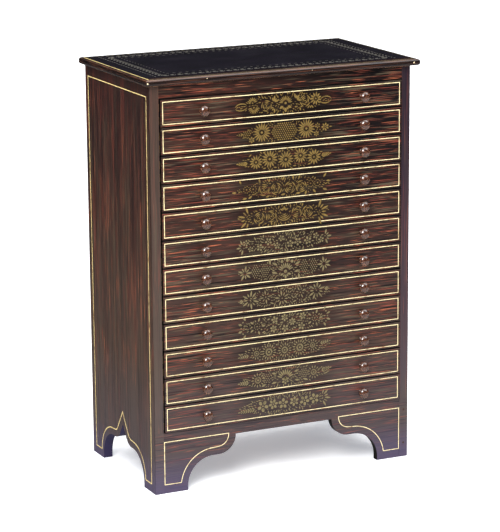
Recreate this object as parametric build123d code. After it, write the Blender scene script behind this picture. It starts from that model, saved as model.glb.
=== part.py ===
from build123d import *
import os
from math import cos, radians, sin

# A table-top specimen cabinet: a tall narrow chest of twelve shallow drawers on bracket feet.
# Lengths are millimetres and angles degrees. X runs along the front, Y from front to back, Z up.
# The origin is under the middle of the whole cabinet, knobs included, on the surface it stands on.

# Carcass boards
body_width = 438.0
body_depth = 252.0
side_thickness = 15.0
side_arris_radius = 1.2
top_thickness = 10.0
top_side_overhang = 10.0
top_front_overhang = 13.0
top_edge_radius = 4.0
top_rail_height = 21.0
rail_thickness = 12.0
rail_setback = 0.4
rail_arris_radius = 0.6
bottom_thickness = 12.0
bottom_drop = 1.0
bottom_housing = 5.0
back_thickness = 8.0
back_rebate = 7.0
back_board_count = 3
back_board_chamfer = 1.0

# Shaped apron and its front bracket feet
apron_rail_height = 17.0
front_toe_width = 54.5
front_toe_height = 7.0
front_hollow_radius = 43.0
front_shelf = 9.5
front_round_radius = 29.0
front_round_sweep = 90.0

# Side boards' feet and the pointed arch between them
side_arch_width = 164.0
side_toe_height = 8.0
side_hollow_radius = 42.0
side_shelf = 7.0
side_round_radius = 25.0
side_round_sweep = 55.0
side_arch_peak = 79.0

# Drawers
drawer_count = 12
drawer_front_height = 41.55
drawer_gap = 1.2
drawer_side_gap = 1.2
drawer_front_thickness = 12.0
drawer_proud = 2.5
drawer_arris_radius = 1.3
drawer_side_thickness = 9.0
drawer_side_drop = 3.0
drawer_back_thickness = 8.0
drawer_back_clearance = 5.0
drawer_rim_radius = 1.5
drawer_bottom_thickness = 4.0
drawer_bottom_inset = 3.0
drawer_bottom_tongue = 4.0

# Dovetails at the drawers' corners
tail_count = 2
tail_length = 8.0
tail_root_width = 9.0
tail_flare = 1.5

# Runners on the side boards, which the grooved drawer sides slide on
runner_thickness = 6.0
runner_height = 15.0
runner_housing = 2.5
runner_engagement = 4.0
runner_clearance = 0.3
runner_edge_clearance = 0.5

# Turned knobs, two on each drawer
knob_inset = 84.5
knob_length = 14.0
knob_radius = 8.4
knob_collar_radius = 5.4
knob_collar_length = 1.4
knob_neck_radius = 4.0
knob_neck_length = 4.0
knob_neck_flare = 1.0
knob_crown = 5.4
knob_spigot_radius = 3.0

# Rubbed glue blocks
foot_block_width = 20.0
foot_block_lift = 4.0
shelf_block_width = 12.0
shelf_block_length = 40.0
shelf_block_inset = 45.0

# Nails
nail_radius = 0.8
nail_length = 22.0
nail_head_radius = 1.7
nail_head_height = 0.6
back_nail_rows = 5
back_nail_end_margin = 30.0
back_nail_inset = 2.6
foot_nail_heights = (23.0, 78.0)

# Room left beyond a cut, so that no cutter ends on a face
cut_margin = 2.0

# Places worked out from the sizes above
half_width = body_width / 2
half_inside = half_width - side_thickness
knob_reach = drawer_proud + knob_length
front_reach = max(knob_reach, top_front_overhang)
front_y = front_reach - (body_depth + front_reach) / 2
back_y = front_y + body_depth
back_inner_y = back_y - back_thickness
rail_front_y = front_y + rail_setback
rail_back_y = rail_front_y + rail_thickness

apron_underside = front_toe_height + front_hollow_radius + front_round_radius
opening_bottom = apron_underside + apron_rail_height
drawer_pitch = drawer_front_height + drawer_gap
opening_top = opening_bottom + drawer_count * drawer_pitch
carcass_top = opening_top + top_rail_height
bottom_top = opening_bottom - bottom_drop
bottom_underside = bottom_top - bottom_thickness

drawer_half_width = half_inside - drawer_side_gap
drawer_front_y = front_y - drawer_proud
drawer_lap_y = drawer_front_y + drawer_front_thickness - tail_length
drawer_inner_y = drawer_front_y + drawer_front_thickness
drawer_end_y = back_inner_y - drawer_back_clearance
drawer_back_y = drawer_end_y - drawer_back_thickness
drawer_half_inside = drawer_half_width - drawer_side_thickness
drawer_side_height = drawer_front_height - drawer_side_drop
drawer_floor = drawer_bottom_inset + drawer_bottom_thickness
knob_x = half_width - knob_inset
runner_front_y = drawer_inner_y + runner_clearance
runner_reach = drawer_side_gap + runner_engagement


def block(x, y, z):
    """A box between two corners: each argument is the low and high bound on one axis."""
    middle = Pos((x[0] + x[1]) / 2, (y[0] + y[1]) / 2, (z[0] + z[1]) / 2)
    return middle * Box(x[1] - x[0], y[1] - y[0], z[1] - z[0])


def mirrored(shape):
    """The same shape on the other side of the cabinet."""
    return mirror(shape, about=Plane.YZ)


def drawer_bottoms():
    """Heights of the lower edges of the drawer fronts, from the top drawer down."""
    return [opening_top - (n + 1) * drawer_pitch + drawer_gap / 2 for n in range(drawer_count)]


# ---- The arches between the feet ----

def arch_face(half_span, toe_height, hollow, shelf, round_radius, sweep, peak):
    """A flat arch-shaped opening, centred on x = 0: a toe, a hollow, a shelf and a round, both sides."""
    hollow_top = toe_height + hollow
    shelf_end = -half_span + hollow + shelf
    round_end_x = shelf_end + round_radius * sin(radians(sweep))
    round_end_y = hollow_top + round_radius * (1 - cos(radians(sweep)))
    half = [
        Line((0, -cut_margin), (-half_span, -cut_margin)),
        Line((-half_span, -cut_margin), (-half_span, toe_height)),
        CenterArc((-half_span + hollow, toe_height), hollow, 90, 90),
        Line((-half_span + hollow, hollow_top), (shelf_end, hollow_top)),
        CenterArc((shelf_end, hollow_top + round_radius), round_radius, -90, sweep),
        Line((round_end_x, round_end_y), (0, peak)),
    ]
    return make_face(half + [mirrored(edge) for edge in half])


def apron_arch():
    """The opening under the apron, as a cutter that passes through it."""
    face = arch_face(half_width - front_toe_width, front_toe_height, front_hollow_radius,
                     front_shelf, front_round_radius, front_round_sweep, apron_underside)
    start = Plane(origin=(0, rail_back_y + cut_margin, 0), x_dir=(1, 0, 0), z_dir=(0, -1, 0))
    return extrude(start * face, rail_thickness + 2 * cut_margin)


def side_arch():
    """The opening between the left side board's feet, as a cutter that passes through it."""
    face = arch_face(side_arch_width / 2, side_toe_height, side_hollow_radius,
                     side_shelf, side_round_radius, side_round_sweep, side_arch_peak)
    start = Plane(origin=(-half_width - cut_margin, front_y + body_depth / 2, 0),
                  x_dir=(0, 1, 0), z_dir=(1, 0, 0))
    return extrude(start * face, side_thickness + 2 * cut_margin)


# ---- Carcass ----

def top_board():
    """The overhanging top, rounded along its front and both ends and square at the back."""
    half = half_width + top_side_overhang
    board = block((-half, half), (front_y - top_front_overhang, back_y),
                  (carcass_top, carcass_top + top_thickness))
    long_edges = board.edges().filter_by(Axis.X).group_by(Axis.Y)[0]
    end_edges = board.edges().filter_by(Axis.Y)
    return fillet(long_edges + end_edges, min(top_edge_radius, 0.45 * top_thickness))


def bottom_board():
    """The shelf under the lowest drawer, housed in both side boards behind the apron."""
    half = half_inside + bottom_housing
    return block((-half, half), (rail_back_y, back_inner_y), (bottom_underside, bottom_top))


def back_boards():
    """Upright boards side by side, let into the rebates behind the side boards."""
    half = half_inside + back_rebate
    width = 2 * half / back_board_count
    boards = []
    for n in range(back_board_count):
        left = -half + n * width
        board = block((left, left + width), (back_inner_y, back_y), (bottom_underside, carcass_top))
        seams = board.edges().filter_by(Axis.Z).group_by(Axis.Y)[-1]
        boards.append(chamfer(seams, min(back_board_chamfer, 0.45 * back_thickness)))
    return boards


def runner(bottom):
    """The left runner of one drawer: a strip glued in a shallow housing in the side board."""
    return block((-half_inside - runner_housing, -half_inside + runner_reach),
                 (runner_front_y, back_inner_y),
                 (bottom + runner_height, bottom + runner_height + runner_thickness))


def left_runners():
    """All the runners of the left side board, from the top one down."""
    return [runner(bottom) for bottom in drawer_bottoms()]


def left_side():
    """The left side board. Its front edge is the stile beside the drawers, its foot is its lower end."""
    board = block((-half_width, -half_inside), (front_y, back_y), (0, carcass_top))
    outer = board.edges().filter_by(Axis.Z).group_by(Axis.X)[0]
    board = fillet(outer, side_arris_radius)
    rebate = block((-half_inside - back_rebate, -half_inside + cut_margin),
                   (back_inner_y, back_y + cut_margin), (bottom_underside, carcass_top + cut_margin))
    board -= [side_arch(), rebate, bottom_board()]
    return board - left_runners()


def rail_blank(bottom, top):
    """A board set on edge between the side boards, a hair behind their front edges."""
    return block((-half_inside, half_inside), (rail_front_y, rail_back_y), (bottom, top))


def top_rail():
    """The plain rail over the top drawer."""
    rail = rail_blank(opening_top, carcass_top)
    lip = rail.edges().filter_by(Axis.X).group_by(Axis.Z)[0].sort_by(Axis.Y)[0]
    return fillet(lip, rail_arris_radius)


def apron():
    """The shaped board under the lowest drawer, with both front brackets cut from it."""
    board = rail_blank(0, opening_bottom)
    lip = board.edges().filter_by(Axis.X).group_by(Axis.Z)[-1].sort_by(Axis.Y)[0]
    return fillet(lip, rail_arris_radius) - apron_arch()


def glue_blocks():
    """Three-cornered blocks rubbed into the corners behind the apron and under the bottom board."""
    blocks = []
    foot = Polyline((0, 0), (foot_block_width, 0), (0, foot_block_width), close=True)
    shelf = Polyline((0, 0), (shelf_block_width, 0), (0, -shelf_block_width), close=True)
    corner = Plane(origin=(-half_inside, rail_back_y, foot_block_lift))
    blocks.append(extrude(corner * make_face(foot), bottom_underside - foot_block_lift))
    for y in (rail_back_y + shelf_block_inset, back_inner_y - shelf_block_inset):
        corner = Plane(origin=(-half_inside, y + shelf_block_length / 2, bottom_underside),
                       x_dir=(1, 0, 0), z_dir=(0, -1, 0))
        blocks.append(extrude(corner * make_face(shelf), shelf_block_length))
    return blocks + [mirrored(piece) for piece in blocks]


def nail(x, head_y, z, heading):
    """A round nail lying along Y, its flat head at head_y and its point towards heading (1 or -1)."""
    shank = Cylinder(nail_radius, nail_length, align=(Align.CENTER, Align.CENTER, Align.MIN))
    head = Cylinder(nail_head_radius, nail_head_height, align=(Align.CENTER, Align.CENTER, Align.MIN))
    return Pos(x, head_y, z) * Rot(-90 * heading, 0, 0) * (shank + head)


def back_nails():
    """Nails through the back boards into both side boards and into the bottom board."""
    low = bottom_underside + bottom_thickness / 2
    high = carcass_top - back_nail_end_margin
    step = (high - low) / (back_nail_rows - 1)
    edge = half_inside + back_rebate - back_nail_inset
    rows = [nail(x, back_y, low + n * step, -1) for n in range(back_nail_rows) for x in (-edge, edge)]
    width = 2 * (half_inside + back_rebate) / back_board_count
    inner = [(n - (back_board_count - 1) / 2) * width for n in range(back_board_count)]
    return rows + [nail(x, back_y, low, -1) for x in inner]


def foot_nails():
    """The two old nails in the front edge of the right side board, by its foot."""
    return [nail(half_width - side_thickness / 2, front_y, z, 1) for z in foot_nail_heights]


# ---- One drawer, with the lower edge of its front at z = 0 ----

def drawer_bottom():
    """The thin bottom, let into grooves in the front and sides and running under the back."""
    half = drawer_half_inside + drawer_bottom_tongue
    return block((-half, half), (drawer_inner_y - drawer_bottom_tongue, drawer_end_y),
                 (drawer_bottom_inset, drawer_floor))


def tails(root_y, tip_y):
    """The dovetails on one end of a drawer side, as one row of wedges in the left side's place."""
    spacing = drawer_side_height / tail_count
    root = tail_root_width / 2
    tip = root + tail_flare
    start = Plane(origin=(-drawer_half_width, 0, 0), x_dir=(0, 1, 0), z_dir=(1, 0, 0))
    row = []
    for n in range(tail_count):
        z = (n + 0.5) * spacing
        wedge = Polyline((root_y, z - root), (tip_y, z - tip), (tip_y, z + tip), (root_y, z + root),
                         close=True)
        row.append(extrude(start * make_face(wedge), drawer_side_thickness))
    return row


def runner_groove():
    """The way that the left runner takes through the drawer, open at the drawer's back."""
    return block((-drawer_half_width - cut_margin,
                  -drawer_half_width + runner_engagement + runner_edge_clearance),
                 (drawer_inner_y, drawer_end_y + cut_margin),
                 (runner_height - runner_clearance,
                  runner_height + runner_thickness + runner_clearance))


def drawer_side():
    """The left drawer side: dovetails at both ends, a groove for the bottom and one for the runner."""
    board = block((-drawer_half_width, -drawer_half_inside), (drawer_inner_y, drawer_back_y),
                  (0, drawer_side_height))
    rim = board.edges().filter_by(Axis.Y).group_by(Axis.Z)[-1]
    board = fillet(rim, drawer_rim_radius)
    board += tails(drawer_inner_y, drawer_lap_y)
    board += tails(drawer_back_y, drawer_end_y)
    return board - [runner_groove(), drawer_bottom()]


def drawer_back():
    """The drawer's back: it stands on the bottom and its ends hold the drawer sides' tails."""
    board = block((-drawer_half_width, drawer_half_width), (drawer_back_y, drawer_end_y),
                  (drawer_floor, drawer_side_height))
    side = drawer_side()
    return board - [side, mirrored(side), runner_groove(), mirrored(runner_groove())]


def quarter_round(start, corner, end):
    """A quarter of an ellipse from start to end, inside the corner where its end tangents meet."""
    pull = 0.5523  # how far along its tangent a cubic curve's handle reaches, to follow an ellipse
    first = Vector(*start) + (Vector(*corner) - Vector(*start)) * pull
    second = Vector(*end) + (Vector(*corner) - Vector(*end)) * pull
    return Bezier(start, first, second, end)


def knob(x):
    """A turned knob: spigot, collar, hollow neck and a flattened ball, standing out towards -Y."""
    neck_end = knob_collar_length + knob_neck_length
    widest = knob_length - knob_crown
    under = knob_neck_radius + knob_neck_flare
    outline = [
        Line((0, -drawer_front_thickness), (knob_spigot_radius, -drawer_front_thickness)),
        Line((knob_spigot_radius, -drawer_front_thickness), (knob_spigot_radius, 0)),
        Line((knob_spigot_radius, 0), (knob_collar_radius, 0)),
        Line((knob_collar_radius, 0), (knob_collar_radius, knob_collar_length)),
        ThreePointArc((knob_collar_radius, knob_collar_length),
                      (knob_neck_radius, knob_collar_length + knob_neck_length / 2),
                      (under, neck_end)),
        quarter_round((under, neck_end), (knob_radius, neck_end), (knob_radius, widest)),
        quarter_round((knob_radius, widest), (knob_radius, knob_length), (0, knob_length)),
        Line((0, knob_length), (0, -drawer_front_thickness)),
    ]
    turned = revolve(make_face(outline), Axis.Y)
    return Pos(x, drawer_front_y, drawer_front_height / 2) * Rot(0, 0, 180) * turned


def knobs():
    """Both knobs of a drawer, glued in through its front."""
    return [knob(-knob_x), knob(knob_x)]


def drawer_front():
    """The front: rounded arrises, sockets for the sides' tails, a groove for the bottom, knob holes."""
    front = block((-drawer_half_width, drawer_half_width), (drawer_front_y, drawer_inner_y),
                  (0, drawer_front_height))
    front = fillet(front.edges().group_by(Axis.Y)[0], drawer_arris_radius)
    side = drawer_side()
    return front - [side, mirrored(side), drawer_bottom(), *knobs()]


# ---- All the pieces by name ----

def carcass():
    """The pieces that stay still, each name with its solids."""
    runners = left_runners()
    side = left_side() - back_nails()
    return {
        "top_board": [top_board()],
        "side_left": [side],
        "side_right": [mirrored(side) - foot_nails()],
        "top_rail": [top_rail()],
        "front_apron": [apron()],
        "bottom_board": [bottom_board() - back_nails()],
        "back_boards": [board - back_nails() for board in back_boards()],
        "runners_left": runners,
        "runners_right": [mirrored(strip) for strip in runners],
        "glue_blocks": glue_blocks(),
        "nails": back_nails() + foot_nails(),
    }


def drawer():
    """The pieces of one drawer, each name with its solids."""
    side = drawer_side()
    return {
        "front": [drawer_front()],
        "frame": [side, mirrored(side), drawer_back()],
        "bottom": [drawer_bottom()],
        "knobs": knobs(),
    }


def all_pieces():
    """Every named piece of the cabinet in its place, the drawers numbered from the top down."""
    pieces = carcass()
    one = drawer()
    for number, bottom in enumerate(drawer_bottoms(), start=1):
        for name, solids in one.items():
            pieces[f"drawer_{number:02d}_{name}"] = [Pos(0, 0, bottom) * solid for solid in solids]
    return pieces


os.makedirs("parts", exist_ok=True)
for name, solids in all_pieces().items():
    export_step(Compound(solids), f"parts/{name}.step")
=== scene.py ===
import math
import random

import bmesh
import bpy
from mathutils import Matrix, Vector, kdtree


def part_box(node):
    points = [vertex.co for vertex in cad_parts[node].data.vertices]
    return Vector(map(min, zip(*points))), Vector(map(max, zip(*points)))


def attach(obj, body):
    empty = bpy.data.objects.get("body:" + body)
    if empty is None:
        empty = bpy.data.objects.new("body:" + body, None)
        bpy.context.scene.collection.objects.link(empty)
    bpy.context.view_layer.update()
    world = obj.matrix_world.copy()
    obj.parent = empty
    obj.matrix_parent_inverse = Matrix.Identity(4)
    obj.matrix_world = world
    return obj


# A table-top specimen cabinet, painted and grained as rosewood, with cream and yellow lines and
# gilt stencilled sprays. Millimetres are turned into Blender's metres by one factor.
MM = 0.001
DRAWERS = 12

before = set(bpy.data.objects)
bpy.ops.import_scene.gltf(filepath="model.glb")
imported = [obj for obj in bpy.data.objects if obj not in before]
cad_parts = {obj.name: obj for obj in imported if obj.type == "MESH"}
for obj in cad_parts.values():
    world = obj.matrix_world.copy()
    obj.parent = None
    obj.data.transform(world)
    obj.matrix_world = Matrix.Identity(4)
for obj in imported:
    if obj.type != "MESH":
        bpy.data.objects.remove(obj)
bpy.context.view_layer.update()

# ---- Places read from the frame, in millimetres ----


def box_mm(node):
    """A node's lowest and highest corner in millimetres."""
    low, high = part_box(node)
    return Vector(low) / MM, Vector(high) / MM


side_low, side_high = box_mm("side_left")
top_low, top_high = box_mm("top_board")
apron_low, apron_high = box_mm("front_apron")
drawer_corners = {number: box_mm(f"drawer_{number:02d}_front") for number in range(1, DRAWERS + 1)}
case_left, case_right = side_low.x, box_mm("side_right")[1].x
case_front, case_back = side_low.y, side_high.y
case_depth = case_back - case_front
drawer_front_y = drawer_corners[1][0].y
foot_top = apron_high.z

# ---- Paint, as real sizes in millimetres ----

paint_height = 0.12
line_width = 1.05
side_line_width = 1.25
drawer_line_inset = 4.0

# How far behind a face its paint still counts, over what depth it ends, and how far it runs back over
# the edges of a drawer front.
paint_depth = 0.1
paint_fade = 0.4
drawer_edge_paint = 3.0

# Strokes of the graining brush, across and along the grain. The finest lines of real graining are
# under a millimetre and wouldn't show in the picture, so they are drawn coarser.
grain_strokes = {"broad": (14.0, 300.0), "olive": (1.9, 70.0), "red": (1.5, 100.0),
                 "orange": (1.2, 50.0), "black": (1.5, 120.0)}
stroke_wander = 3.0

# ---- Node helpers ----


def linear(code):
    """An sRGB hex colour as the linear colour that the shaders work in."""
    channels = [int(code[i:i + 2], 16) / 255 for i in (1, 3, 5)]
    return tuple(c / 12.92 if c <= 0.04045 else ((c + 0.055) / 1.055) ** 2.4 for c in channels) + (1.0,)


def add(tree, kind, inputs=(), **settings):
    """Adds one node. Its settings are properties, and each of its inputs is given the socket that feeds
    it, a hex colour or a plain value."""
    node = tree.nodes.new(kind)
    for key, value in settings.items():
        setattr(node, key, value)
    for key, value in dict(inputs).items():
        if isinstance(value, bpy.types.NodeSocket):
            tree.links.new(value, node.inputs[key])
        else:
            node.inputs[key].default_value = linear(value) if isinstance(value, str) else value
    return node


def new_material(name):
    """An empty node material: its tree and its Principled shader."""
    material = bpy.data.materials.new(name)
    material.use_nodes = True
    tree = material.node_tree
    return material, tree, tree.nodes["Principled BSDF"]


# ---- Brushwork ----


def paint_over(tree, colour, coats):
    """Brushes coats over a colour. A coat is its tone, the pattern that it follows, the pattern's values
    where the coat starts and where it covers, and, unless these are 0 and 1, how much it covers there."""
    for tone, *reach in coats:
        cover = add(tree, "ShaderNodeMapRange", enumerate(reach)).outputs[0]
        colour = add(tree, "ShaderNodeMix", {0: cover, 6: colour, 7: tone}, data_type="RGBA").outputs[2]
    return colour


def lengthwise(along, breadth, length):
    """The size (x, y, z) of a stroke or fibre that lies along one axis."""
    return tuple(length if axis == along else breadth for axis in "XYZ")


def streaks(tree, vector, size, detail=3.0):
    """Noise whose cells measure size (x, y, z) in millimetres."""
    placed = add(tree, "ShaderNodeMapping", {0: vector, 3: tuple(1 / (s * MM) for s in size)}).outputs[0]
    return add(tree, "ShaderNodeTexNoise",
               {"Vector": placed, "Scale": 1.0, "Detail": detail, "Roughness": 0.55}).outputs[0]


def painted_faces(tree, place, front_limit, side_limit):
    """Two masks: the faces in front of one depth, and these with a side board's outer face, if any."""
    x, y, _ = add(tree, "ShaderNodeSeparateXYZ", {0: place}).outputs
    front = add(tree, "ShaderNodeMapRange",
                {0: y, 1: (front_limit + paint_fade) * MM, 2: front_limit * MM}).outputs[0]
    if side_limit is None:
        return front, front
    outward = add(tree, "ShaderNodeMath", {0: x}, operation="ABSOLUTE").outputs[0]
    outer = add(tree, "ShaderNodeMapRange",
                {0: outward, 1: (side_limit - paint_fade) * MM, 2: side_limit * MM}).outputs[0]
    return front, add(tree, "ShaderNodeMath", {0: front, 1: outer}, operation="MAXIMUM").outputs[0]


# ---- Rosewood graining. Heights, depths and distances to the right are in metres here ----


def brush_course(tree, place):
    """The place, shifted a little one way and the other, so that strokes bend as those of a hand do."""
    noise = add(tree, "ShaderNodeTexNoise", {"Vector": place, "Scale": 8.0, "Detail": 1.0}).outputs[1]
    shift = add(tree, "ShaderNodeVectorMath", {0: noise, 1: (stroke_wander * MM,) * 3},
                operation="MULTIPLY").outputs[0]
    return add(tree, "ShaderNodeVectorMath", {0: place, 1: shift}, operation="ADD").outputs[0]


def level_at_the_foot(tree, course, height, front):
    """Turns the upright strokes level on a foot's front, where they run on from the apron's."""
    x, y, z = add(tree, "ShaderNodeSeparateXYZ", {0: course}).outputs
    turned = add(tree, "ShaderNodeCombineXYZ", {0: z, 1: y, 2: x}).outputs[0]
    low = add(tree, "ShaderNodeMapRange",
              {0: height, 1: foot_top * MM + 0.001, 2: foot_top * MM - 0.001}).outputs[0]
    foot = add(tree, "ShaderNodeMath", {0: low, 1: front}, operation="MULTIPLY").outputs[0]
    return add(tree, "ShaderNodeMix", {0: foot, 4: course, 5: turned}, data_type="VECTOR").outputs[1]


def painted_shade_upper_right(tree, rightward, height):
    """A mask that grows towards the upper right of the front: painted shade, where the light falls off."""
    right = add(tree, "ShaderNodeMapRange", {0: rightward, 1: -0.06, 2: 0.11}).outputs[0]
    upper = add(tree, "ShaderNodeMapRange", {0: height, 1: 0.26, 2: 0.56}).outputs[0]
    return add(tree, "ShaderNodeMath", {0: right, 1: upper}, operation="MULTIPLY").outputs[0]


def painted_light_on_side(tree, colour, height, front, edge_light_tones):
    """Painted light on a side board: painted shade darkens its top, and its front edge above the foot
    gets painted sheen and shade: the tones of the edge are its upper one and its lower one."""
    edge_sheen_and_shade = paint_over(tree, edge_light_tones[1], [(edge_light_tones[0], height, 0.10, 0.58)])
    above = add(tree, "ShaderNodeMapRange", {0: height, 1: foot_top * MM - 0.02, 2: foot_top * MM + 0.05,
                                             3: 0.0, 4: 0.65}).outputs[0]
    edge = add(tree, "ShaderNodeMath", {0: above, 1: front}, operation="MULTIPLY").outputs[0]
    return paint_over(tree, colour, [("#1A0E12", height, 0.38, 0.80), (edge_sheen_and_shade, edge)])


def spray_ground_and_gap_shade(tree, colour, rightward, depth, height):
    """Darkens the middle that a spray was stencilled on, and blackens a drawer front's edges as painted shade
    in the gaps.
    """
    aside = add(tree, "ShaderNodeMath", {0: rightward}, operation="ABSOLUTE").outputs[0]
    middle = add(tree, "ShaderNodeMapRange", {0: aside, 1: 0.095, 2: 0.060}).outputs[0]
    strength = add(tree, "ShaderNodeMapRange", {0: height, 1: 0.10, 2: 0.60, 3: 0.35, 4: 0.80}).outputs[0]
    shade = add(tree, "ShaderNodeMath", {0: middle, 1: strength}, operation="MULTIPLY").outputs[0]
    face = drawer_front_y * MM
    # The black behind the face is painted shade in the gaps between drawers.
    return paint_over(tree, colour, [("#0C0705", shade), ("#0B0706", depth, face + 0.00010, face + 0.00035)])


def bare_inside_and_gap_shade(tree, depth, height):
    """Wood that was never grained: blue-black underneath, and black close behind the front as painted shade
    in the gaps.
    """
    face = case_front * MM
    # The black just behind the front is painted shade in the gaps round the drawers.
    return paint_over(tree, "#2B2542", [("#7C5732", height, 0.080, 0.092),
                                        ("#0F0B0A", depth, face + 0.018, face + 0.012)])


def grained_rosewood(name, along, front_limit, side_limit=None, width=1.0, run=1.0,
                     floor_sheen_tone="#463832", edge_light_tones=None, sprayed=False):
    """Rosewood graining brushed over a red ground and varnished: a dark brown with long red-brown,
    orange and olive streaks and black lines between them. Lighter towards the floor and bluish at the
    feet, as a painted reflection of the pale floor; on fronts, painted shade darkens the upper right.
    Width and run stretch the strokes across and along the grain."""
    material, tree, shader = new_material(name)
    place = add(tree, "ShaderNodeTexCoord").outputs["Object"]
    rightward, depth, height = add(tree, "ShaderNodeSeparateXYZ", {0: place}).outputs
    front, painted = painted_faces(tree, place, front_limit, side_limit)
    course = brush_course(tree, place)
    if edge_light_tones:
        course = level_at_the_foot(tree, course, height, front)
    strokes = {tone: streaks(tree, course, lengthwise(along, breadth * width, length * run), 2.0)
               for tone, (breadth, length) in grain_strokes.items()}
    # Towards the floor the ground turns to the floor-sheen tone: a painted reflection of the pale floor.
    colour = paint_over(tree, "#261613", [("#36221B", strokes["broad"], 0.35, 0.65),
                                          (floor_sheen_tone, height, 0.42, -0.05)])
    # Painted shade: the upper right of a front is darkened, as if less light fell there.
    if along == "X":
        colour = paint_over(tree, colour, [("#0D090B", painted_shade_upper_right(tree, rightward, height))])
    colour = paint_over(tree, colour, [("#4A3F31", strokes["olive"], 0.56, 0.62),
                                       ("#753729", strokes["red"], 0.56, 0.62),
                                       ("#9C563A", strokes["orange"], 0.635, 0.69),
                                       ("#120D0E", strokes["black"], 0.55, 0.61)])
    # Painted shade over a side board's top, and painted sheen and shade on its front edge.
    if edge_light_tones:
        colour = painted_light_on_side(tree, colour, height, front, edge_light_tones)
    # Painted reflection of the floor: greyer near the floor and bluish at the feet.
    colour = paint_over(tree, colour, [("#453F46", height, 0.20, 0.02, 0.0, 0.6),
                                       ("#4D4560", height, 0.060, -0.02)])
    if sprayed:
        colour = spray_ground_and_gap_shade(tree, colour, rightward, depth, height)
    colour = paint_over(tree, bare_inside_and_gap_shade(tree, depth, height), [(colour, painted)])
    tree.links.new(colour, shader.inputs["Base Color"])
    gloss = add(tree, "ShaderNodeMapRange", {0: painted, 3: 0.60, 4: 0.30}).outputs[0]
    tree.links.new(gloss, shader.inputs["Roughness"])
    bump = add(tree, "ShaderNodeBump", {"Strength": 0.10, "Distance": 0.0002, "Height": strokes["red"]})
    tree.links.new(bump.outputs[0], shader.inputs["Normal"])
    shader.inputs["IOR"].default_value = 1.45
    shader.inputs["Specular IOR Level"].default_value = 0.28
    return material


# ---- Other finishes ----


def rubbed_and_highlit_arrises(tree, height, cloud):
    """A mask of the top board's upper and lower arris, in patches: rubbed wear and painted highlight."""
    top_z, bottom_z = top_high.z * MM, top_low.z * MM
    above = add(tree, "ShaderNodeMapRange", {0: height, 1: top_z - 0.0014, 2: top_z - 0.0008}).outputs[0]
    below = add(tree, "ShaderNodeMapRange", {0: height, 1: top_z - 0.0002, 2: top_z - 0.0006}).outputs[0]
    upper = add(tree, "ShaderNodeMath", {0: above, 1: below}, operation="MULTIPLY").outputs[0]
    lower = add(tree, "ShaderNodeMapRange",
                {0: height, 1: bottom_z + 0.0012, 2: bottom_z + 0.0004}).outputs[0]
    both = add(tree, "ShaderNodeMath", {0: upper, 1: lower}, operation="MAXIMUM").outputs[0]
    patches = add(tree, "ShaderNodeMapRange", {0: cloud, 1: 0.35, 2: 0.6}).outputs[0]
    return add(tree, "ShaderNodeMath", {0: both, 1: patches}, operation="MULTIPLY").outputs[0]


def black_japan(name):
    """Black japanned top, its moulded edge grained red-brown: a blue-black varnish with faint brown
    streaks, browner along the front, and dulled rubbed patches. The two arrises of the edge are worn to
    the red ground, which also stands for painted highlights along them."""
    material, tree, shader = new_material(name)
    place = add(tree, "ShaderNodeTexCoord").outputs["Object"]
    _, depth, height = add(tree, "ShaderNodeSeparateXYZ", {0: place}).outputs
    streak = streaks(tree, place, (70.0, 4.0, 4.0))
    front_streak = streaks(tree, place, (90.0, 2.2, 4.0), 2.0)
    edge_streak = streaks(tree, place, (60.0, 60.0, 1.2), 2.0)
    cloud = add(tree, "ShaderNodeTexNoise", {"Vector": place, "Scale": 22.0, "Detail": 4.0}).outputs[0]
    face = paint_over(tree, "#07060D", [("#0F0C18", streak, 0.35, 0.55), ("#221A24", streak, 0.55, 0.75)])
    front_strip = paint_over(tree, "#120B10", [("#2A1916", front_streak, 0.40, 0.52),
                                               ("#4A2C22", front_streak, 0.52, 0.64)])
    edge = paint_over(tree, "#0D090B", [("#211512", edge_streak, 0.38, 0.56),
                                        ("#55301F", edge_streak, 0.56, 0.72)])
    front_y, top_z = top_low.y * MM, top_high.z * MM
    face = paint_over(tree, face, [(front_strip, depth, front_y + 0.022, front_y + 0.012)])
    # The pale arrises are worn red ground and painted highlights at once.
    colour = paint_over(tree, edge, [(face, height, top_z - 0.0022, top_z - 0.0008),
                                     ("#6E4A30", rubbed_and_highlit_arrises(tree, height, cloud))])
    tree.links.new(colour, shader.inputs["Base Color"])
    gloss = add(tree, "ShaderNodeMapRange", {0: cloud, 1: 0.35, 2: 0.65, 3: 0.15, 4: 0.26}).outputs[0]
    tree.links.new(gloss, shader.inputs["Roughness"])
    return material


def line_paint(name, light, worn):
    """Oil paint drawn with a lining brush: it thins and darkens where the brush ran dry."""
    material, tree, shader = new_material(name)
    place = add(tree, "ShaderNodeTexCoord").outputs["Object"]
    wear = add(tree, "ShaderNodeTexNoise", {"Vector": place, "Scale": 120.0, "Detail": 4.0}).outputs[0]
    tree.links.new(paint_over(tree, light, [(worn, wear, 0.50, 0.75)]), shader.inputs["Base Color"])
    shader.inputs["Roughness"].default_value = 0.5
    return material


def gilt_stencil(name, bright, thin):
    """Bronze powder stencilled on tacky varnish: an ochre gold, rubbed thin in patches."""
    material, tree, shader = new_material(name)
    place = add(tree, "ShaderNodeTexCoord").outputs["Object"]
    wear = add(tree, "ShaderNodeTexNoise", {"Vector": place, "Scale": 150.0, "Detail": 3.0}).outputs[0]
    tree.links.new(paint_over(tree, bright, [(thin, wear, 0.50, 0.75)]), shader.inputs["Base Color"])
    shader.inputs["Metallic"].default_value = 0.25
    shader.inputs["Roughness"].default_value = 0.5
    return material


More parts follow.
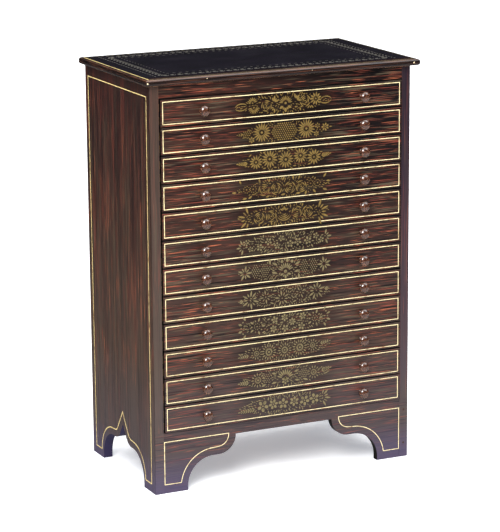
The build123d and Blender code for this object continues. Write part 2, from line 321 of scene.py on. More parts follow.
def bare_wood(name, light, dark, along, ring_width, board_width=None):
    """Planed softwood left bare: growth rings as sharp-edged bands along the board, fine fibres, and,
    where upright boards stand side by side, a tone of its own for each and a dark seam between them."""
    material, tree, shader = new_material(name)
    place = add(tree, "ShaderNodeTexCoord").outputs["Object"]
    if board_width:
        x = add(tree, "ShaderNodeSeparateXYZ", {0: place}).outputs[0]
        boards = add(tree, "ShaderNodeMath", {0: x, 1: board_width * MM}, operation="DIVIDE").outputs[0]
        board = add(tree, "ShaderNodeMath", {0: boards}, operation="ROUND").outputs[0]
        apart = add(tree, "ShaderNodeCombineXYZ", {0: board, 1: board, 2: board}).outputs[0]
        place = add(tree, "ShaderNodeVectorMath", {0: place, 1: apart}, operation="ADD").outputs[0]
    rings = streaks(tree, place, lengthwise(along, ring_width, 420.0), 1.0)
    bands = add(tree, "ShaderNodeMath", {0: rings, 1: 9.0}, operation="MULTIPLY").outputs[0]
    bands = add(tree, "ShaderNodeMath", {0: bands}, operation="FRACT").outputs[0]
    fibres = streaks(tree, place, lengthwise(along, 0.9, 45.0))
    stain = add(tree, "ShaderNodeTexNoise", {"Vector": place, "Scale": 7.0, "Detail": 3.0}).outputs[0]
    colour = paint_over(tree, light, [(dark, bands, 0.25, 1.0), (dark, fibres, 0.55, 0.80),
                                      (dark, stain, 0.50, 0.85)])
    if board_width:
        tone = add(tree, "ShaderNodeTexWhiteNoise", {"W": board}, noise_dimensions="1D").outputs["Value"]
        aside = add(tree, "ShaderNodeMath", {0: boards, 1: board}, operation="SUBTRACT").outputs[0]
        aside = add(tree, "ShaderNodeMath", {0: aside}, operation="ABSOLUTE").outputs[0]
        seam_start, seam_full = (0.5 - half_seam / board_width for half_seam in (0.9, 0.4))
        colour = paint_over(tree, colour, [(dark, tone, 0.2, 1.8), ("#1C130C", aside, seam_start, seam_full)])
    tree.links.new(colour, shader.inputs["Base Color"])
    shader.inputs["Roughness"].default_value = 0.68
    return material


def turned_rosewood(name):
    """Polished turned rosewood: almost black, with brown figure and a clear wax gloss."""
    material, tree, shader = new_material(name)
    place = add(tree, "ShaderNodeTexCoord").outputs["Object"]
    figure = streaks(tree, place, (2.0, 9.0, 1.2))
    colour = paint_over(tree, "#1C100C", [("#4B2C1E", figure, 0.35, 0.55), ("#85563C", figure, 0.55, 0.75)])
    tree.links.new(colour, shader.inputs["Base Color"])
    shader.inputs["Roughness"].default_value = 0.22
    shader.inputs["Coat Weight"].default_value = 1.0
    shader.inputs["Coat Roughness"].default_value = 0.09
    shader.inputs["Coat IOR"].default_value = 1.65
    return material


def old_iron(name):
    """Old iron, brown-black with rust."""
    material, tree, shader = new_material(name)
    place = add(tree, "ShaderNodeTexCoord").outputs["Object"]
    rust = add(tree, "ShaderNodeTexNoise", {"Vector": place, "Scale": 900.0, "Detail": 3.0}).outputs[0]
    tree.links.new(paint_over(tree, "#3B3632", [("#5A3826", rust, 0.45, 0.6)]), shader.inputs["Base Color"])
    shader.inputs["Metallic"].default_value = 0.7
    shader.inputs["Roughness"].default_value = 0.6
    return material


stile_front, side_face = case_front + paint_depth, case_right - paint_depth
# Painted light: the floor-sheen tone, and stile tones (upper, lower) of painted sheen and shade.
left_grain = grained_rosewood("grained_rosewood_left", "Z", stile_front, side_face, 1.2, 2.4,
                              "#50443A", ("#463830", "#4A3F39"))
right_grain = grained_rosewood("grained_rosewood_right", "Z", stile_front, side_face, 1.2, 2.4,
                               "#50443A", ("#241C28", "#44353F"))
level_grain = grained_rosewood("grained_rosewood_level", "X", apron_low.y + 2 * paint_depth)
drawer_grain = grained_rosewood("grained_rosewood_drawers", "X", drawer_front_y + drawer_edge_paint,
                                sprayed=True)
top_finish = black_japan("black_japan")
cream_paint = line_paint("cream_lining_paint", "#E9D8A6", "#9A7A4C")
yellow_paint = line_paint("yellow_lining_paint", "#E6CE88", "#8A6A3A")
rubbed_paint = line_paint("rubbed_yellow_lining_paint", "#786B48", "#2C2621")
flaked_paint = line_paint("flaked_ground", "#CDBB98", "#8F7040")
gilt = gilt_stencil("gilt_bronze_powder", "#7D652F", "#4D3B18")
pale_gilt = gilt_stencil("worn_gilt_bronze_powder", "#7B6E4B", "#50462E")
dull_gilt = gilt_stencil("tarnished_bronze_powder", "#5A574E", "#29262C")
knob_wood = turned_rosewood("turned_rosewood")
back_board_width = (case_right - case_left) / 3
drawer_pine = bare_wood("drawer_pine_along", "#B38C58", "#946C3C", "Y", 14.0)
bottom_pine = bare_wood("drawer_pine_across", "#AD8753", "#8F683A", "X", 26.0)
case_pine = bare_wood("case_pine", "#80603C", "#5E4226", "Z", 34.0, back_board_width)
shelf_pine = bare_wood("shelf_pine", "#7A5A37", "#5A3F24", "X", 30.0)
beech = bare_wood("waxed_beech", "#9B7140", "#835B2E", "Y", 8.0)
iron = old_iron("old_iron")


def dress(node, material):
    """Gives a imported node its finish."""
    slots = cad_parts[node].data.materials
    slots.clear()
    slots.append(material)


for node, finish in {"side_left": left_grain, "side_right": right_grain, "top_rail": level_grain,
                     "front_apron": level_grain, "top_board": top_finish, "bottom_board": shelf_pine,
                     "back_boards": case_pine, "runners_left": beech, "runners_right": beech,
                     "glue_blocks": case_pine, "nails": iron}.items():
    dress(node, finish)
for number in range(1, DRAWERS + 1):
    for part, finish in {"front": drawer_grain, "frame": drawer_pine, "bottom": bottom_pine,
                         "knobs": knob_wood}.items():
        dress(f"drawer_{number:02d}_{part}", finish)

# ---- Painted shapes, drawn flat in millimetres and laid on a face ----


def face_plane(origin, right, up):
    """The matrix that lays a flat drawing on a face, from millimetres to metres."""
    right, up = Vector(right), Vector(up)
    out = right.cross(up)
    columns = Matrix((right, up, out)).transposed().to_4x4()
    return Matrix.Translation(Vector(origin) * MM) @ columns @ Matrix.Scale(MM, 4)


def lay_on(bm, plane, outward, name, material, body):
    """Gives a flat drawing its paint thickness and lays it on a face as one piece of a body."""
    grown = bmesh.ops.extrude_face_region(bm, geom=bm.faces[:], use_keep_orig=True)
    raised = [item for item in grown["geom"] if isinstance(item, bmesh.types.BMVert)]
    bmesh.ops.translate(bm, vec=(0, 0, paint_height * outward), verts=raised)
    bmesh.ops.transform(bm, matrix=plane, verts=bm.verts[:])
    bmesh.ops.recalc_face_normals(bm, faces=bm.faces[:])
    mesh = bpy.data.meshes.new(name)
    bm.to_mesh(mesh)
    bm.free()
    mesh.materials.append(material)
    piece = bpy.data.objects.new(name, mesh)
    bpy.context.scene.collection.objects.link(piece)
    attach(piece, body)


def rectangle(low, high):
    """The corners of a rectangle, from its lowest one round."""
    return [low, (high[0], low[1]), high, (low[0], high[1])]


def flat_face(bm, outline):
    """One face inside a closed outline."""
    return bm.faces.new([bm.verts.new((x, y, 0)) for x, y in outline])


def ring(bm, outline, width):
    """A painted line: the band of the given width just inside a closed outline."""
    face = flat_face(bm, outline)
    face.normal_update()
    bmesh.ops.inset_region(bm, faces=[face], thickness=width, use_even_offset=True, use_boundary=True)
    bmesh.ops.delete(bm, geom=[face], context="FACES")


def arc(centre, radius, start, end, steps=14):
    """Points along an arc, its angles in degrees."""
    turns = [math.radians(start + (end - start) * n / steps) for n in range(steps + 1)]
    return [(centre[0] + radius * math.cos(t), centre[1] + radius * math.sin(t)) for t in turns]


# ---- Lines ----

front_right, up = (1, 0, 0), (0, 0, 1)
apron_face = face_plane((case_left, apron_low.y, 0), front_right, up)
left_face = face_plane((case_left, case_front, 0), (0, 1, 0), up)
right_face = face_plane((case_right, case_front, 0), (0, 1, 0), up)
top_face = face_plane((case_left, case_front, top_high.z), front_right, (0, 1, 0))


def drawer_face(number):
    """A drawer front's face, with its origin at the middle."""
    low, high = drawer_corners[number]
    return face_plane(((low.x + high.x) / 2, low.y, (low.z + high.z) / 2), front_right, up)


def drawer_line(number):
    """The cream rectangle just inside a drawer front's edge."""
    low, high = drawer_corners[number]
    half_x = (high.x - low.x) / 2 - drawer_line_inset + line_width / 2
    half_z = (high.z - low.z) / 2 - drawer_line_inset + line_width / 2
    bm = bmesh.new()
    ring(bm, rectangle((-half_x, -half_z), (half_x, half_z)), line_width)
    lay_on(bm, drawer_face(number), 1, f"drawer_{number:02d}_cream_line", cream_paint,
           f"drawer_{number:02d}")


def bracket_outline():
    """The line round a front bracket, from the case's left edge and the floor: it follows the hollow
    and the round of the bracket's shaped edge."""
    hollow = arc((98, 7), 54.5, 172, 90)
    rounded = arc((106, 80.5), 18.3, -90, -3)
    return [(15.4, 82), (15.4, 13.4), (43, 13.4)] + hollow + rounded + [(124.4, 82)]


def mirrored(outline, width):
    """The same outline seen from the other end of a face of the given width."""
    return [(width - x, z) for x, z in reversed(outline)]


def side_outline():
    """The line round a side, from its front edge and the floor: both feet, and the pointed arch."""
    foot = [(14.2, 13.1), (37.6, 13.1)] + arc((85, 14), 46.6, 179, 90) + arc((93, 76), 14.9, -90, -35)
    arch_point = [(case_depth / 2, 97.5)]
    return foot + arch_point + mirrored(foot, case_depth) + [(case_depth - 11.4, 612.5), (11.4, 612.5)]


for number in range(1, DRAWERS + 1):
    drawer_line(number)

brackets = {"left": bracket_outline(), "right": mirrored(bracket_outline(), case_right - case_left)}
for end, outline in brackets.items():
    bm = bmesh.new()
    ring(bm, outline, line_width)
    lay_on(bm, apron_face, 1, f"bracket_{end}_cream_line", cream_paint, "carcass")

for end, plane, outward in (("left", left_face, -1), ("right", right_face, 1)):
    bm = bmesh.new()
    ring(bm, side_outline(), side_line_width)
    lay_on(bm, plane, outward, f"side_{end}_yellow_line", yellow_paint, "carcass")

# ---- Strokes of the stencils, in millimetres ----


def polar(centre, radius, angle):
    """The point at a distance and an angle, in degrees, from a centre."""
    turn = math.radians(angle)
    return centre[0] + radius * math.cos(turn), centre[1] + radius * math.sin(turn)


def stroke(bm, root, length, width, angle, taper=0.45):
    """One leaf or petal from its root, pointing along the angle: pointed by taper, an oval at 0."""
    verts = bmesh.ops.create_circle(bm, cap_ends=True, segments=10, radius=0.5)["verts"]
    for vert in verts:
        vert.co.y *= 1 - taper * abs(2 * vert.co.x)
    place = (Matrix.Translation((*root, 0)) @ Matrix.Rotation(math.radians(angle), 4, "Z")
             @ Matrix.Diagonal((length, width, 1, 1)) @ Matrix.Translation((0.5, 0, 0)))
    bmesh.ops.transform(bm, matrix=place, verts=verts)


def dot(bm, centre, size):
    """A round berry or seed."""
    bmesh.ops.create_circle(bm, cap_ends=True, segments=7, radius=size / 2,
                            matrix=Matrix.Translation((*centre, 0)))


def crescent(bm, centre, radius, width, start, end):
    """A curved petal: an arc that swells in the middle and ends in two points."""
    outer = arc(centre, radius, start, end, 8)
    inner = []
    for n in range(7, 0, -1):
        swell = width * math.sin(math.pi * n / 8)
        inner.append(polar(centre, radius - swell, start + (end - start) * n / 8))
    flat_face(bm, outer + inner)


def daisy(bm, centre, radius, petals, start=0, span=360, heart=0.30, taper=0.3):
    """Petals round a heart with a seed in it; a span under 360 makes a half-open flower."""
    width = min(0.72 * radius * (1 + heart) * math.pi * span / 360 / petals, radius * 0.55)
    for n in range(petals):
        angle = start + span * (n + 0.5) / petals
        stroke(bm, polar(centre, radius * heart, angle), radius * (1 - heart), width, angle, taper)
    dot(bm, centre, radius * heart)


def aster(bm, centre, radius, petals):
    """A daisy of two rows: short strokes inside, longer ones outside."""
    for n in range(petals):
        angle = 360 * n / petals
        stroke(bm, polar(centre, radius * 0.24, angle), radius * 0.26, radius * 0.12, angle, 0.2)
        stroke(bm, polar(centre, radius * 0.58, angle + 180 / petals), radius * 0.42, radius * 0.15,
               angle + 180 / petals)
    dot(bm, centre, radius * 0.26)


def rose(bm, centre, radius, turn=0):
    """A rose of nested crescent petals round a small heart."""
    for ring_radius, thick, petals in ((1.0, 0.20, 4), (0.70, 0.17, 3), (0.44, 0.14, 2)):
        for n in range(petals):
            first = turn + 360 * n / petals + 40 * ring_radius
            crescent(bm, centre, radius * ring_radius, radius * thick, first, first + 300 / petals)
    dot(bm, centre, radius * 0.26)


def berries(bm, centre, half_x, half_z, pitch, size):
    """A bunch of berries in rows inside an oval."""
    rows = int(half_z / (pitch * 0.87))
    columns = int(half_x / pitch) + 1
    for row in range(-rows, rows + 1):
        for column in range(-columns, columns + 1):
            x = (column + 0.5 * (row % 2)) * pitch
            z = row * pitch * 0.87
            if (x / half_x) ** 2 + (z / half_z) ** 2 <= 1:
                dot(bm, (centre[0] + x, centre[1] + z), size)


def berry_ring(bm, centre, radius, count, size):
    """A flower of berries: one ring round a larger one."""
    for n in range(count):
        dot(bm, polar(centre, radius, 360 * n / count), size)
    dot(bm, centre, size * 1.4)


def sprig(bm, root, length, angle, pairs, leaf=5.0, spread=42):
    """A stem with pairs of leaves that grow smaller towards its tip."""
    stroke(bm, root, length, 0.7, angle, 0.0)
    for n in range(pairs):
        place = polar(root, length * (n + 0.6) / (pairs + 0.4), angle)
        size = leaf * (1 - 0.35 * n / pairs)
        for lean in (-spread, spread):
            stroke(bm, place, size, size * 0.36, angle + lean)
    stroke(bm, polar(root, length, angle), leaf * 0.8, leaf * 0.3, angle)


def leaf_fan(bm, root, radius, leaves, start, span, gap=2.0, width=0.30):
    """Leaves spread round a root."""
    for n in range(leaves):
        angle = start + span * (n / (leaves - 1) if span < 360 else n / leaves)
        size = radius * (0.88 + 0.12 * (-1) ** n)
        stroke(bm, polar(root, gap, angle), size - gap, size * width, angle)


def open_leaf(bm, centre, length, width, angle):
    """A leaf drawn as an outline, in two curved strokes that meet at its tip."""
    made = []
    for side in (-1, 1):
        before = set(bm.verts)
        crescent(bm, (0, 0), 1.0, 0.28, 4 * side, 172 * side)
        made += [vert for vert in bm.verts if vert not in before]
    place = (Matrix.Translation((*centre, 0)) @ Matrix.Rotation(math.radians(angle), 4, "Z")
             @ Matrix.Diagonal((length / 2, width / 2, 1, 1)))
    bmesh.ops.transform(bm, matrix=place, verts=made)


def fill_with_leaves(bm, seed, leaf=5.0, half_x=76.0, half_z=13.5, tries=1500):
    """Small leaves and seeds in every bare place between the flowers, inside a long oval."""
    chance = random.Random(seed)
    painted = kdtree.KDTree(len(bm.verts))
    for index, vert in enumerate(bm.verts):
        painted.insert(vert.co, index)
    painted.balance()
    added = []
    for _ in range(tries):
        x = chance.uniform(-half_x, half_x)
        reach = half_z * (1 - abs(x / half_x) ** 2.5)
        root = Vector((x, chance.uniform(-reach, reach), 0))
        angle = math.degrees(math.atan2(root.y, root.x * 0.35)) + chance.uniform(-35, 35)
        length = leaf * chance.uniform(0.55, 1.0)
        middle, tip = (Vector((*polar(root, reached, angle), 0)) for reached in (length / 2, length))
        room = min(painted.find(point)[2] for point in (root, middle, tip))
        if room < leaf * 0.30 or any((middle - other).length < leaf * 0.62 for other in added):
            continue
        added.append(middle)
        stroke(bm, (root.x, root.y), length, length * 0.34, angle)


# ---- The twelve sprays, from the top drawer down, each from the middle of its drawer front ----


def shell_and_open_leaves(bm):
    open_leaf(bm, (-71, -1), 20, 12, 184)
    open_leaf(bm, (71, 0), 19, 12, 4)
    daisy(bm, (-52, 4), 9, 7, 10, 160)
    daisy(bm, (-50, -3), 10, 9, 180, 180)
    rose(bm, (-29, -2), 8.5)
    leaf_fan(bm, (-17, 2), 11, 4, 25, 80)
    leaf_fan(bm, (-15, -5), 9, 3, 185, 80)
    daisy(bm, (3, 0), 11.5, 11, 0, 180, 0.36)
    leaf_fan(bm, (3, -3), 11, 5, 205, 130, 4.0, 0.42)
    leaf_fan(bm, (20, 4), 10, 5, -10, 110)
    rose(bm, (36, 1), 9, 50)
    leaf_fan(bm, (26, -6), 8, 4, 190, 150)
    daisy(bm, (54, 3), 10, 11)
    dot(bm, (61, -3), 3.0)
    leaf_fan(bm, (45, -5), 8, 3, 230, 80)


def two_daisies_and_berries(bm):
    daisy(bm, (-37, 1), 15, 18, heart=0.26)
    daisy(bm, (38, 1), 15, 18, heart=0.26)
    berries(bm, (1, 0), 21, 14.5, 3.5, 2.3)
    berries(bm, (-62, 1), 7, 4.5, 3.2, 1.9)
    sprig(bm, (-67, 0), 9, 180, 2, 4.0)
    daisy(bm, (-54, -9), 5, 6)
    daisy(bm, (57, 4), 4.6, 6)
    daisy(bm, (55, -8), 4.6, 6)
    daisy(bm, (70, 1), 6.5, 7)
    stroke(bm, (77, 1), 5, 1.8, 0)


def row_of_daisies(bm):
    for x, z, radius, petals in ((-47, -1, 11, 13), (-24, 2, 13.5, 15), (3, -1, 13, 15), (28, 3, 12, 14),
                                 (51, -1, 12, 13)):
        daisy(bm, (x, z), radius, petals, 5 * x)
    sprig(bm, (-59, -2), 16, 178, 4, 6.5, 30)
    sprig(bm, (62, 0), 14, 8, 4, 6.0, 35)
    for x, z, angle in ((-36, -12, 10), (-12, -12, 170), (15, -12, 5), (-36, 12, 20), (16, 12, 150),
                        (40, -12, 20), (-59, 8, 40), (-10, 12, 10)):
        stroke(bm, (x, z), 6, 2.0, angle)


def berry_flowers_and_roses(bm):
    for x in (-63, -52, 45, 57):
        berry_ring(bm, (x, 1), 5.0, 9, 1.8)
    for n, x in enumerate((-34, -13, 10, 29)):
        rose(bm, (x, -2), 9.2, 70 * n)
    for x, z, angle in ((-72, 10, 115), (-80, -2, 178), (-70, -13, 8), (-54, -9, 215), (67, 9, 50),
                        (72, 3, -5), (66, -9, -15), (49, -8, -50), (-40, 9, 110), (-26, 9, 70),
                        (-3, 10, 60), (16, 9, 100), (24, 9, 65), (38, -9, 250), (-24, -11, 200),
                        (2, -11, 190), (20, -12, 0)):
        stroke(bm, (x, z), 7.5, 3.2, angle)


def roses_and_leaf_ends(bm):
    leaf_fan(bm, (-58, -1), 20, 6, 110, 140, 8.0, 0.17)
    leaf_fan(bm, (56, -2), 21, 7, -70, 140, 8.0, 0.17)
    for n, (x, z) in enumerate(((-42, -2), (-22, -1), (22, 2), (40, 1))):
        rose(bm, (x, z), 9.0, 40 + 65 * n)
    for radius in (4.0, 7.0, 10.0, 13.0):
        crescent(bm, (0, 3), radius, 1.7, 200, 340)
    leaf_fan(bm, (0, 5), 8, 5, 30, 120)
    for x, angle in ((-42, -95), (-22, -80), (-32, 80), (-10, 75), (11, 95), (30, 70), (12, -60), (30, -65)):
        stroke(bm, (x, 9 if angle > 0 else -9), 6, 2.4, angle)


def small_five_petal_flowers(bm):
    for x, z, radius in ((-65, 4, 5.2), (-57, -6, 4.6), (-41, -5, 6), (-27, 3, 6), (-12, -5, 5.5), (-5, 6, 5),
                         (10, -4, 6), (23, -2, 6.5), (40, -2, 6.5), (54, 4, 5.2), (63, -3, 5)):
        daisy(bm, (x, z), radius, 5, 18 + 3 * x, heart=0.34, taper=0.05)
    leaf_fan(bm, (-69, -2), 12, 5, 115, 140, 4.0, 0.24)
    leaf_fan(bm, (69, 1), 12, 5, -65, 140, 4.0, 0.24)
    for x, z, angle in ((-48, 7, 120), (-36, 9, 80), (-16, 8, 150), (3, 9, 60), (18, 8, 110), (32, 7, 50),
                        (46, -8, -60), (-30, -9, 220), (-2, -9, 200), (33, -10, 250)):
        stroke(bm, (x, z), 6, 2.2, angle)


def star_leaves_and_blossom(bm):
    leaf_fan(bm, (-67, 0), 12, 9, 0, 360, 2.5, 0.26)
    leaf_fan(bm, (68, 1), 12, 9, 20, 360, 2.5, 0.26)
    for x in (-49, -33, 34, 50):
        berries(bm, (x, 1), 8.5, 10, 3.6, 1.9)
    daisy(bm, (2, -4), 14, 9, 15, 150, 0.40, 0.1)
    leaf_fan(bm, (2, -6), 10, 5, 200, 140, 3.0, 0.34)
    for x, z in ((-4, 12), (5, 13), (13, 11)):
        dot(bm, (x, z), 5.0)
    for x, z, angle in ((-12, -6, 160), (-12, 7, 150), (17, -6, 10), (18, 5, 25), (-24, 9, 100),
                        (24, -9, 280)):
        stroke(bm, (x, z), 10, 3.8, angle)


def loose_leaves(bm):
    for x, z, radius, leaves in ((-58, 0, 15, 11), (-4, -3, 13, 10), (55, 3, 15, 11), (27, 3, 10, 8),
                                 (-32, 2, 11, 8)):
        leaf_fan(bm, (x, z), radius, leaves, 11 * x, 360, radius * 0.32, 0.20)
        dot(bm, (x, z), 2.0)
    sprig(bm, (-69, -1), 6, 180, 2, 5.0)
    sprig(bm, (68, 4), 6, 0, 2, 5.0)
    for x, z, angle in ((-20, 10, 5), (-8, 12, 10), (6, 11, -5), (14, -11, 20), (-18, -10, 160),
                        (38, -8, 200)):
        stroke(bm, (x, z), 7, 2.2, angle)


def star_daisies_and_blossoms(bm):
    for x, z in ((-47, 0), (52, 2)):
        berry_ring(bm, (x, z), 4.6, 9, 1.6)
        leaf_fan(bm, (x, z), 14, 10, 0, 360, 7.5, 0.22)
    leaf_fan(bm, (-60, 0), 20, 7, 120, 120, 13.0, 0.18)
    leaf_fan(bm, (62, 3), 18, 7, -60, 120, 11.0, 0.18)
    for x, z, petals in ((-17, 7, 5), (-19, -7, 6), (1, -8, 5), (13, 1, 7), (31, 8, 6), (29, -8, 5),
                         (0, 9, 6)):
        daisy(bm, (x, z), 6.2, petals, 9 * x, heart=0.28, taper=0.05)
    for x, z, angle in ((-30, 8, 20), (-8, 1, 10), (20, -10, 160), (-33, -9, 200), (20, 10, 30)):
        stroke(bm, (x, z), 6, 2.4, angle)


def stippled_asters(bm):
    for x, z, radius, petals in ((-48, 0, 10, 12), (-27, 0, 13, 16), (0, 0, 12, 15), (26, 1, 13, 16),
                                 (48, 2, 10, 12)):
        aster(bm, (x, z), radius, petals)
    sprig(bm, (-60, -2), 16, 184, 4, 5.0)
    sprig(bm, (60, 3), 16, 8, 4, 5.0)
    for x in (-38, -14, 13, 38):
        dot(bm, (x, 10), 2.2)
        dot(bm, (x, -10), 2.2)


def large_blossom_and_sprays(bm):
    daisy(bm, (1, -3), 15, 9, 12, 156, 0.42, 0.05)
    daisy(bm, (1, -6), 6.5, 6, heart=0.34, taper=0.1)
    aster(bm, (-46, 0), 12, 13)
    berries(bm, (-32, 1), 6, 8, 3.4, 1.8)
    berries(bm, (33, 2), 9, 9, 3.4, 1.9)
    aster(bm, (50, 1), 11, 12)
    sprig(bm, (-60, -2), 16, 180, 4, 6.0)
    sprig(bm, (62, 2), 15, 10, 4, 6.0)
    for x, z, angle in ((-14, 6, 165), (-14, -7, 190), (16, 6, 15), (17, -7, -10), (-40, -11, 20),
                        (40, -10, 160)):
        stroke(bm, (x, z), 9, 3.4, angle)


def round_petal_flowers(bm):
    for x, z, radius, petals in ((-38, 0, 9.5, 5), (-20, 1, 8, 6), (-3, 0, 8.5, 5), (16, 1, 8, 6),
                                 (34, 0, 8.5, 5), (51, 1, 8.5, 5)):
        daisy(bm, (x, z), radius, petals, 7 * x, heart=0.30, taper=0.0)
    sprig(bm, (-50, -3), 26, 184, 6, 6.0)
    leaf_fan(bm, (63, 1), 17, 6, -60, 130, 6.0, 0.18)
    for x in (-29, -12, 7, 25, 43):
        stroke(bm, (x, 8), 5.5, 2.2, 80)
        stroke(bm, (x, -8), 5.5, 2.2, -80)


sprays = [shell_and_open_leaves, two_daisies_and_berries, row_of_daisies, berry_flowers_and_roses,
          roses_and_leaf_ends, small_five_petal_flowers, star_leaves_and_blossom, loose_leaves,
          star_daisies_and_blossoms, stippled_asters, large_blossom_and_sprays, round_petal_flowers]
last_bright_spray = 5

for number, spray in enumerate(sprays, 1):
    bm = bmesh.new()
    spray(bm)
    fill_with_leaves(bm, number)
    tone = gilt if number <= last_bright_spray else pale_gilt
    lay_on(bm, drawer_face(number), 1, f"drawer_{number:02d}_gilt_spray", tone,
           f"drawer_{number:02d}")

# ---- The top's border ----

edge_line_inset = 6.0
edge_line_width = 1.5

# The rows of the border, from the case's front left corner.
garland_row = rectangle((30, 21), (408, 226))
inner_row = rectangle((44, 38), (395, 210))
outer_row = rectangle((18, 12), (418, 240))


def garland(bm, start, end, pitch, leaf):
    """Leaves in pairs along a row, with a berry between them."""
    start, end = Vector(start), Vector(end)
    run = end - start
    count = round(run.length / pitch)
    along = math.degrees(math.atan2(run.y, run.x))
    for n in range(count):
        root = start + run * (n + 0.2) / count
        for lean in (-32, 32):
            stroke(bm, root, leaf, leaf * 0.40, along + lean, 0.3)
        dot(bm, start + run * (n + 0.95) / count, leaf * 0.28)


def dashes(bm, start, end, pitch, length, width):
    """A row of short brush dashes."""
    start, end = Vector(start), Vector(end)
    run = end - start
    count = round(run.length / pitch)
    along = math.degrees(math.atan2(run.y, run.x))
    for n in range(count):
        stroke(bm, start + run * n / count, length, width, along, 0.1)


def top_border(bm):
    """A leaf garland all round, dashes outside it at the ends and the back, and dashes inside it."""
    for n in range(4):
        garland(bm, garland_row[n], garland_row[(n + 1) % 4], 11.5, 8.5)
    for n in range(4):
        dashes(bm, inner_row[n], inner_row[(n + 1) % 4], 10.5, 5.0, 1.3)
    for n in range(1, 4):
        dashes(bm, outer_row[n], outer_row[(n + 1) % 4], 9.0, 5.5, 2.0)


low_x, high_x = top_low.x - case_left + edge_line_inset, top_high.x - case_left - edge_line_inset
low_y, high_y = top_low.y - case_front + edge_line_inset, case_depth - edge_line_inset
bm = bmesh.new()
flat_face(bm, rectangle((low_x, low_y), (low_x + edge_line_width, high_y)))
lay_on(bm, top_face, 1, "top_yellow_line", yellow_paint, "carcass")
bm = bmesh.new()
flat_face(bm, rectangle((low_x + 2 * edge_line_width, low_y),
                        (high_x - 2 * edge_line_width, low_y + edge_line_width)))
dashes(bm, (high_x, low_y), (high_x, high_y), 8.5, 6.0, edge_line_width)
dashes(bm, (high_x, high_y), (low_x, high_y), 8.5, 6.0, edge_line_width)
lay_on(bm, top_face, 1, "top_rubbed_line", rubbed_paint, "carcass")
bm = bmesh.new()
top_border(bm)
lay_on(bm, top_face, 1, "top_leaf_border", dull_gilt, "carcass")

# ---- Chips and specks ----


def chip(bm, centre, size, seed):
    """A ragged little flake."""
    chance = random.Random(seed)
    made = bmesh.ops.create_circle(bm, cap_ends=True, segments=7, radius=size / 2,
                                   matrix=Matrix.Translation((*centre, 0)))["verts"]
    for vert in made:
        vert.co.x += chance.uniform(-0.2, 0.2) * size
        vert.co.y += chance.uniform(-0.2, 0.2) * size


top_edge_face = face_plane((case_left, top_low.y, 0), front_right, up)
edge_z = (top_low.z + top_high.z) / 2

# Flakes of paint: how far to the right and how high they are, and their size.
edge_chips = [(-7.5, edge_z, 2.6), (88, edge_z + 1.5, 1.5), (437, edge_z, 2.6), (262, edge_z + 1, 1.0)]
front_specks = [(7, 619, 1.8), (10, 560, 1.1), (431, 625, 1.2)]
wear = (("top_edge_chips", top_edge_face, edge_chips, "japanned_top"),
        ("front_specks", apron_face, front_specks, "grained_case"))
for seed, (name, plane, places, slot) in enumerate(wear):
    bm = bmesh.new()
    for index, (x, z, size) in enumerate(places):
        chip(bm, (x, z), size, 10 * seed + index)
    lay_on(bm, plane, 1, name, flaked_paint, "carcass")

# ---- Floor, lights and camera ----


def paper(name, low, high, height, material):
    """A flat sheet of white paper on the ground between two corners, in metres."""
    mesh = bpy.data.meshes.new(name)
    bm = bmesh.new()
    flat_face(bm, rectangle(low, high))
    bmesh.ops.translate(bm, vec=(0, 0, height), verts=bm.verts[:])
    bm.to_mesh(mesh)
    bm.free()
    mesh.materials.append(material)
    sheet = bpy.data.objects.new(name, mesh)
    bpy.context.scene.collection.objects.link(sheet)
    return sheet


def lit_paper(name, colour, gloss, glow, strength):
    """Paper that glows a little, as on a lit table."""
    material, _, shader = new_material(name)
    shader.inputs["Base Color"].default_value = linear(colour)
    shader.inputs["Roughness"].default_value = 0.9
    shader.inputs["Specular IOR Level"].default_value = gloss
    shader.inputs["Emission Color"].default_value = linear(glow)
    shader.inputs["Emission Strength"].default_value = strength
    return material


# The floor's glow keeps the shadow under the cabinet pale. The varnish mirrors a sheet of its own in
# front of the cabinet, and not the floor.
floor_half = 14
floor_paper = lit_paper("white_paper_sweep", "#FCFCFC", 0.1, "#E9F2FF", 0.38)
floor = paper("floor", (-floor_half, -floor_half), (floor_half, floor_half), 0.0, floor_paper)
floor.visible_glossy = False
sheet_left, sheet_right, sheet_depth = -0.6, 1.6, 1.7
sheet_back, sheet_lift = case_front * MM - 0.03, 0.0004
mirrored_paper = lit_paper("mirrored_paper", "#000000", 0.0, "#FFFFFF", 0.65)
front_sheet = paper("front_paper", (sheet_left, sheet_back - sheet_depth), (sheet_right, sheet_back),
                    sheet_lift, mirrored_paper)
front_sheet.visible_camera = False
front_sheet.visible_diffuse = False
front_sheet.visible_shadow = False


def studio_world():
    """White to the eye, and to the cabinet a dim room that is brightest overhead."""
    world = bpy.data.worlds.new("studio")
    bpy.context.scene.world = world
    world.use_nodes = True
    tree = world.node_tree
    towards = add(tree, "ShaderNodeTexCoord").outputs["Generated"]
    height = add(tree, "ShaderNodeSeparateXYZ", {0: towards}).outputs[2]
    ceiling = add(tree, "ShaderNodeMapRange", {0: height, 1: 0.40, 2: 0.95, 3: 0.02, 4: 1.2}).outputs[0]
    ground = add(tree, "ShaderNodeMapRange", {0: height, 1: -0.10, 2: -0.9, 3: 0.0, 4: 0.5}).outputs[0]
    ceiling = add(tree, "ShaderNodeMath", {0: ceiling, 1: ground}, operation="ADD").outputs[0]
    seen = add(tree, "ShaderNodeLightPath").outputs["Is Camera Ray"]
    strength = add(tree, "ShaderNodeMath", {0: ceiling, 1: seen}, operation="MAXIMUM").outputs[0]
    tree.links.new(strength, tree.nodes["Background"].inputs["Strength"])
    tree.nodes["Background"].inputs["Color"].default_value = (1.0, 1.0, 1.0, 1.0)


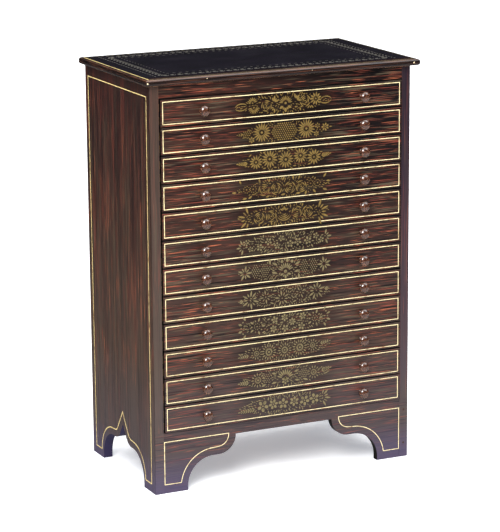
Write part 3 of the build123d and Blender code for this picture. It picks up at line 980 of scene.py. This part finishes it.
def soft_sun(name, towards, width, strength):
    """A distant soft light, as wide as the given angle in degrees, seen in a direction."""
    lamp = bpy.data.lights.new(name, "SUN")
    lamp.angle = math.radians(width)
    lamp.energy = strength
    holder = bpy.data.objects.new(name, lamp)
    holder.rotation_euler = Vector(towards).to_track_quat("Z", "Y").to_euler()
    bpy.context.scene.collection.objects.link(holder)


def softbox(name, place, target, size, power):
    """A square soft light aimed at a point."""
    lamp = bpy.data.lights.new(name, "AREA")
    lamp.size = size
    lamp.energy = power
    holder = bpy.data.objects.new(name, lamp)
    holder.location = place
    holder.rotation_euler = (Vector(target) - Vector(place)).to_track_quat("-Z", "Y").to_euler()
    bpy.context.scene.collection.objects.link(holder)


studio_world()
softbox("key_softbox", (-1.7, -2.2, 2.2), (0, 0, 0.32), 1.5, 128)
soft_sun("fill_light", (1.0, -0.8, 1.25), 36, 0.9)
soft_sun("overhead_light", (0.0, 0.2, 1.3), 60, 2.0)
bpy.context.scene.view_settings.view_transform = "Standard"

# The photograph's viewpoint, found from the cabinet's corners. Angles are in degrees and lengths in
# millimetres; the focal length is in pixels of the 532-pixel-high picture.
picture_height = 532
sensor = 36.0
focal_pixels = 2429.0
camera_yaw, camera_pitch, camera_roll = 25.502, 13.335, -0.419
camera_distance = 3832.5
camera_aim = Vector((0.0, (case_front + case_back) / 2, 308.63))
camera_sidestep = 2.74


def photo_camera():
    """Places the camera from its yaw, pitch and roll about the cabinet."""
    yaw, pitch, roll = (math.radians(a) for a in (camera_yaw, camera_pitch, camera_roll))
    ahead = Vector((math.sin(yaw) * math.cos(pitch), math.cos(yaw) * math.cos(pitch), -math.sin(pitch)))
    level = Vector((math.cos(yaw), -math.sin(yaw), 0))
    above = level.cross(ahead)
    right = math.cos(roll) * level + math.sin(roll) * above
    up = -math.sin(roll) * level + math.cos(roll) * above
    eye = (camera_aim - camera_distance * ahead + camera_sidestep * level) * MM
    data = bpy.data.cameras.new("photo_camera")
    data.sensor_width = sensor
    data.lens = focal_pixels * sensor / picture_height
    camera = bpy.data.objects.new("photo_camera", data)
    turn = Matrix((right, up, -ahead)).transposed().to_4x4()
    camera.matrix_world = Matrix.Translation(eye) @ turn
    bpy.context.scene.collection.objects.link(camera)
    bpy.context.scene.camera = camera


photo_camera()
